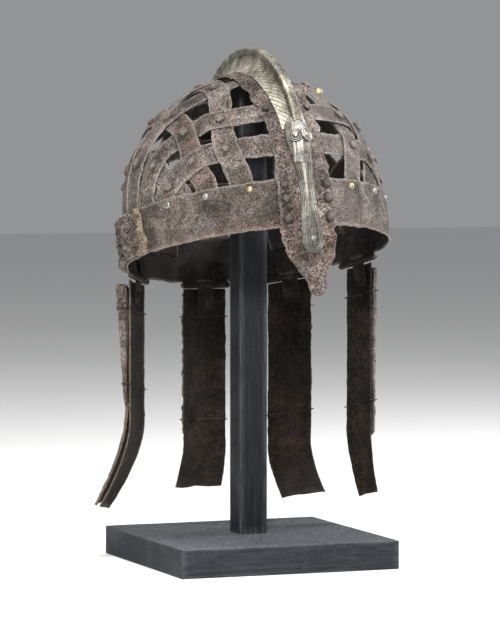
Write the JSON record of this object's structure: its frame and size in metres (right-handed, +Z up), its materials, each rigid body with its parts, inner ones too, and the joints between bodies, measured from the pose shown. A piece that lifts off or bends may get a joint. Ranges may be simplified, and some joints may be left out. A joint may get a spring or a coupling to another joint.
{
  "type": "iron lattice helmet with neck plates, on a display stand",
  "caption": "Open lattice iron helmet with brow band, ridge strap, nasal and bronze crest, hinged neck plates behind, held on a plain square wooden display stand.",
  "frame": {"origin": "middle of the underside of the stand board, on the surface that it stands on", "axes": "+Z up, the helmet faces -Y, +X is the wearer's left"},
  "size_m": [0.2197, 0.2398, 0.3972],
  "materials": {
    "iron": "old forged iron, finely pitted, warm brown-grey with rust",
    "dark_iron": "dark corroded iron with orange rust at the edges",
    "bronze": "olive-gold patinated bronze",
    "steel": "dull wire and pins",
    "painted_wood": "matt blue-grey brushed paint on wood"
  },
  "bodies": {
    "helmet_and_stand": {"stand_base": "painted_wood", "stand_post": "painted_wood", "brow_band": "dark_iron", "ridge_strap": "iron", "bronze_crest": "bronze", "nose_strip": "bronze", "rust_patch": "dark_iron", "long_strip_right_1": "iron", "long_strip_right_2": "iron", "long_strip_right_3": "iron", "long_strip_left_1": "iron", "long_strip_left_2": "iron", "long_strip_left_3": "iron", "cross_strip_1": "iron", "cross_strip_2": "iron", "cross_strip_3": "iron", "cross_strip_4": "iron", "cross_strip_5": "iron", "cross_strip_6": "iron", "cross_strip_7": "iron", "hinge_leaf_right_a": "dark_iron", "hinge_leaf_right_b": "dark_iron", "hinge_pin_right": "steel", "hinge_leaf_back_right_a": "dark_iron", "hinge_leaf_back_right_b": "dark_iron", "hinge_pin_back_right": "steel", "hinge_leaf_back_left_a": "dark_iron", "hinge_leaf_back_left_b": "dark_iron", "hinge_pin_back_left": "steel", "hinge_leaf_left_a": "dark_iron", "hinge_leaf_left_b": "dark_iron", "hinge_pin_left": "steel"},
    "plate_right": {"hinge_tongue_right": "dark_iron", "neck_plate_right": "dark_iron", "outer_sheet_right": "iron", "wire_tie_right_upper": "steel", "wire_tie_right_lower": "steel"},
    "plate_back_right": {"hinge_tongue_back_right": "dark_iron", "neck_plate_back_right": "dark_iron", "outer_sheet_back_right": "iron", "wire_tie_back_right_upper": "steel", "wire_tie_back_right_lower": "steel"},
    "plate_back_left": {"hinge_tongue_back_left": "dark_iron", "neck_plate_back_left": "dark_iron", "outer_sheet_back_left": "iron", "wire_tie_back_left_upper": "steel", "wire_tie_back_left_lower": "steel"},
    "plate_left": {"hinge_tongue_left": "dark_iron", "neck_plate_left": "dark_iron", "outer_sheet_left": "iron", "wire_tie_left_upper": "steel", "wire_tie_left_lower": "steel"}
  },
  "joints": [
    {"name": "swing_right", "type": "hinge", "parent": "helmet_and_stand", "child": "plate_right", "pos_m": [-0.07152, 0.0546, 0.21796], "axis": [0.5997, 0.7782, -0.1862], "range_deg": [-12, 60]},
    {"name": "swing_back_right", "type": "hinge", "parent": "helmet_and_stand", "child": "plate_back_right", "pos_m": [-0.00121, 0.09517, 0.20921], "axis": [0.9928, 0.1198, -0.0065], "range_deg": [-12, 40]},
    {"name": "swing_back_left", "type": "hinge", "parent": "helmet_and_stand", "child": "plate_back_left", "pos_m": [0.06303, 0.07721, 0.21543], "axis": [0.8017, -0.5737, 0.1679], "range_deg": [-12, 60]},
    {"name": "swing_left", "type": "hinge", "parent": "helmet_and_stand", "child": "plate_left", "pos_m": [0.10127, 0.02713, 0.2293], "axis": [0.3293, -0.9123, 0.2437], "range_deg": [-12, 60]}
  ]
}
